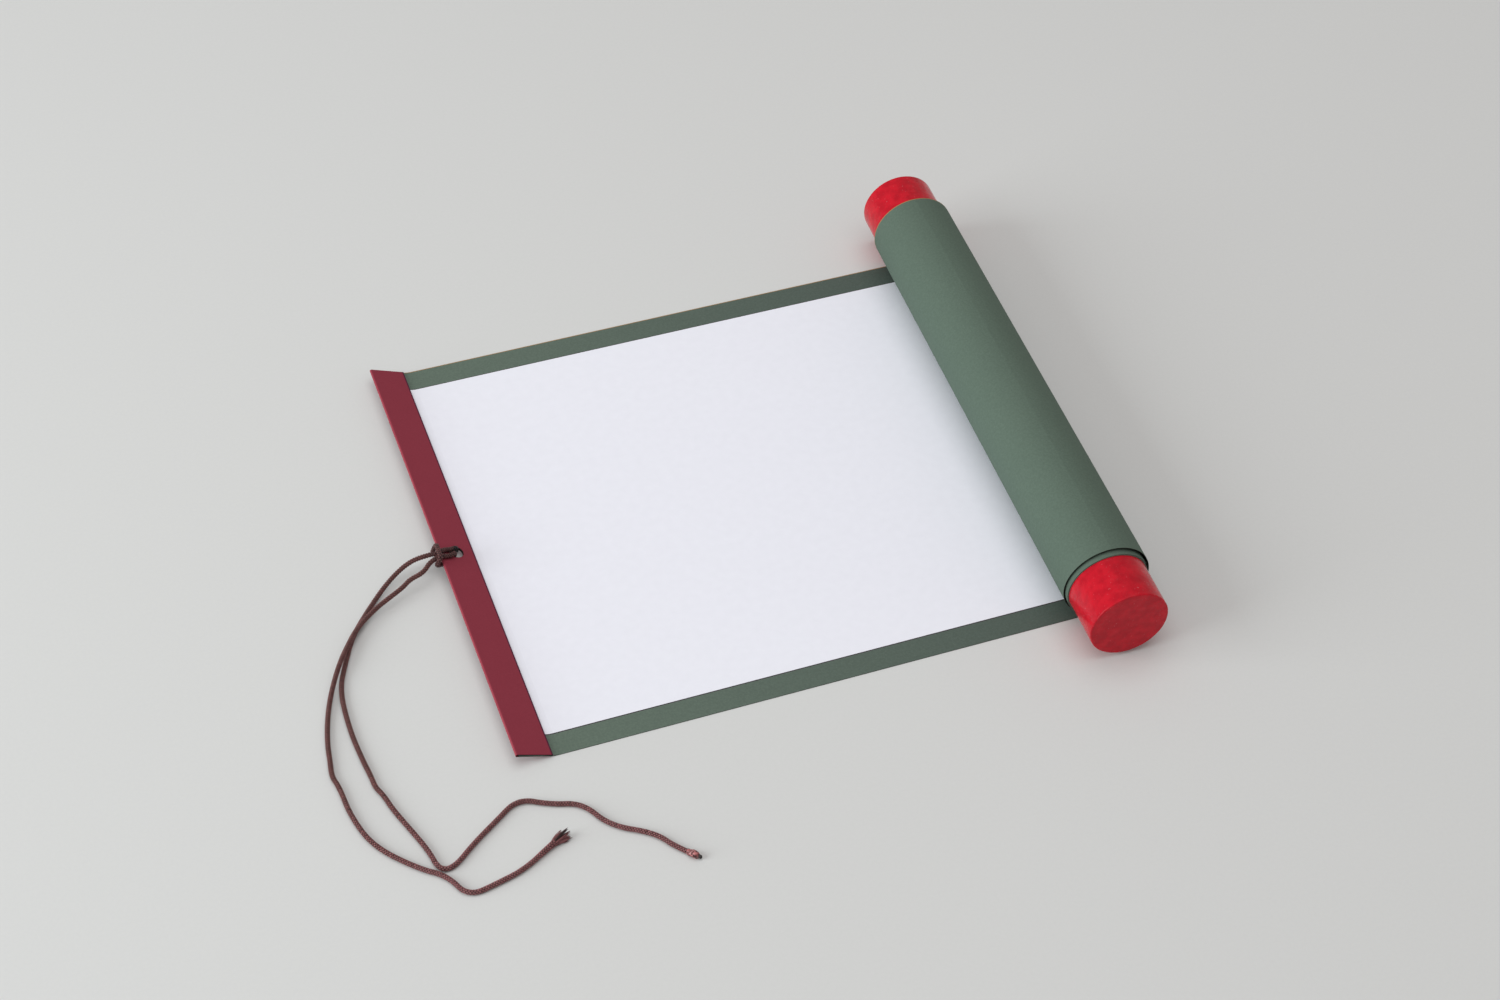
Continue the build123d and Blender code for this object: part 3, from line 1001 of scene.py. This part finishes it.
def brown_rayon():
    material, shader, place = new_material("braided_rayon")
    strands = add(material, "UVMap", uv_map="strands")
    stripes = add(material, "Mapping", {"Vector": strands, "Scale": FILAMENT_STRIPES})
    filaments = add(material, "TexNoise", {"Vector": stripes, "Scale": 1.0, "Detail": 2.0})
    filaments = add(material, "MapRange", {"Value": filaments, "From Min": 0.35, "From Max": 0.65})

    lift = add(material, "SeparateXYZ", {"Vector": strands}, result="Y")
    lift = add(material, "Math", {0: lift, 1: math.pi}, operation="MULTIPLY")
    lift = add(material, "Math", {0: lift}, operation="COSINE")
    # Lighter where a strand lies on top, as painted light; near black in dives and on the core, as
    # painted shade
    on_top = add(material, "MapRange", {"Value": lift, "From Min": 0.1, "From Max": 0.9})
    y = add(material, "SeparateXYZ", {"Vector": place}, result="Y")
    # Painted sheen: the thread gets lighter towards the near side
    near_sheen = add(material, "MapRange", {"Value": y, "From Min": -0.10, "From Max": -0.16})
    # Painted shade: the thread gets darker round the hitch
    away = add(material, "VectorMath", {0: place, 1: HOLE_MIDDLE}, operation="DISTANCE")
    beyond_knot = add(material, "MapRange", {"Value": away, "From Min": 12 * MM, "From Max": 18 * MM})

    thread = layered(material, "#44201F", [(filaments, "#955C58")])
    sheen_thread = layered(material, "#5A2B2B", [(filaments, "#B67679")])
    knot_shade_thread = layered(material, "#2E1413", [(filaments, "#7F4C4B")])
    thread = layered(material, thread, [(near_sheen, sheen_thread)])
    thread = layered(material, knot_shade_thread, [(beyond_knot, thread)])
    # Painted shade: near black where the cord lies in the hole
    layers = [(on_top, thread), (in_hole(material, place), "#060303")]
    colour = layered(material, "#120606", layers)
    return finish(material, shader, colour, filaments, 0.03 * MM, Roughness=0.38, IOR=1.45)


rayon = brown_rayon()

# %% [markdown]
# ## Melted tip
#
# Melted yarn sets into a hard glassy skin. Pink patches on it are partly the melt's own colour
# and partly painted highlight, with a dark ground between them that is partly painted crease shade,
# and it is charred at the very end.

# %% Melted yarn


def melted_yarn():
    material, shader, place = new_material("melted_yarn")
    lumps = add(material, "TexNoise", {"Vector": place, "Scale": per(1.1 * MM), "Detail": 3.0})
    pink_and_highlight = add(material, "MapRange", {"Value": lumps, "From Min": 0.38, "From Max": 0.62})
    away = add(material, "VectorMath", {0: place, 1: tip_line[-1]}, operation="DISTANCE")
    char = {"Value": away, "From Min": 1.3 * MM, "From Max": 2.0 * MM}
    char = add(material, "MapRange", char | {"To Min": 1.0, "To Max": 0.0})
    # Pink patches, partly own colour and partly painted highlight, on a dark ground, partly painted
    # crease shade
    colour = layered(material, "#3A1517", [(pink_and_highlight, "#BC6F70"), (char, "#1C0E0D")])
    return finish(material, shader, colour, lumps, 0.1 * MM, Roughness=0.3)


melted = melted_yarn()

# %% [markdown]
# ## Putting the finishes on
#
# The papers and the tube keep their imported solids, because their shape is already right, and only
# get a finish. The cord and the knobs are replaced by the pieces made above.

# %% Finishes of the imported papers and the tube
cad_finishes = {
    "backing_sheet": backing_finish,
    "writing_sheet": writing_finish,
    "end_strip": strip_finish,
    "roller_tube": board_finish,
}
for node, material in cad_finishes.items():
    slots = nodes[node].material_slots
    for material_slot in slots:
        material_slot.material = material
    print(node, len(slots), "slot")

# %% The made pieces: what they ride on, stand for and are finished with
made_pieces = [
    (frayed_tail, rayon, "braided_cord", "cord_tail_frayed"),
    (sealed_tail, rayon, "braided_cord", "cord_tail_sealed"),
    (hitch, rayon, "braided_cord", "cord_hitch"),
    (brush, rayon, "braided_cord", None),
    (tip_piece, melted, "braided_cord", None),
    (near_knob, enamel, "painted_wood", "end_knob_near"),
    (far_knob, enamel, "painted_wood", "end_knob_far"),
]
for piece, material, slot, node in made_pieces:
    piece.data.materials.append(material)
    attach(piece, "root")
    if node:
        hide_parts(node)
    print(piece.name, "stands for", node or "a part of the cord's node")

# %% [markdown]
# ## The cord's facts
#
# A cord is a fixed length of something flexible. Each tail's length is printed.

# %% Facts of the two tails
for tail, places, parts in (
    (frayed_tail, frayed_places, [hitch, brush]),
    (sealed_tail, sealed_places, [tip_piece]),
):
    print(tail.name, round(length_of(places), 4), "m")

# %% [markdown]
# ## Table and light
#
# The scroll was photographed on a seamless pale grey sweep. A big soft light stands low to its
# left, like a window, a second one hangs over it like a lit ceiling, and the world stands for the
# rest of the room. Together they light the sheet at a plain level, at which a colour comes out
# about as written. The low light fades a little from left to right, as it does in the photograph.

# %% Table
FLOOR_HALF = 3.0
# The floor lies a hair lower than the scroll, so that no two faces share a place
FLOOR_DROP = 0.02 * MM
SQUARE = ((-1, -1), (1, -1), (1, 1), (-1, 1))


def backdrop_paper():
    material, shader, place = new_material("seamless_backdrop_paper")
    tooth = add(material, "TexNoise", {"Vector": place, "Scale": per(1.5 * MM), "Detail": 3.0})
    colour = layered(material, "#D3D4D4", [(tooth, "#D7D8D8")])
    return finish(material, shader, colour, tooth, 0.01 * MM, Roughness=0.9)


floor_corners = [(x * FLOOR_HALF, y * FLOOR_HALF, -FLOOR_DROP) for x, y in SQUARE]
floor = new_piece("floor", floor_corners, [(0, 1, 2, 3)], smooth=False)
floor.data.materials.append(backdrop_paper())

# %% Light
# Each lamp's name, place, size in metres, power in watts and tint
LAMPS = [
    ("window", Vector((-2.07, 0.0, 0.76)), 1.5, 36.5, "#F8FFFF"),
    ("ceiling", Vector((0.0, 0.0, 2.0)), 1.9, 14.5, "#FFFFFF"),
]
ROOM_STRENGTH = 0.435
ROOM_COLOUR = "#FFFAF6"

for name, place, size, power, tint in LAMPS:
    lamp_data = bpy.data.lights.new(name, "AREA")
    lamp_data.shape = "SQUARE"
    lamp_data.size = size
    lamp_data.energy = power
    lamp_data.color = linear(tint)[:3]
    lamp = bpy.data.objects.new(name, lamp_data)
    lamp.location = place
    lamp.rotation_euler = (-place).to_track_quat("-Z", "Y").to_euler()
    bpy.context.scene.collection.objects.link(lamp)
    print(name, "lamp", round(place.length, 2), "m away,", power, "W")

world = bpy.data.worlds.new("room")
world.use_nodes = True
room = world.node_tree.nodes["Background"]
room.inputs["Color"].default_value = linear(ROOM_COLOUR)
room.inputs["Strength"].default_value = ROOM_STRENGTH
bpy.context.scene.world = world
bpy.context.scene.view_settings.view_transform = "Standard"
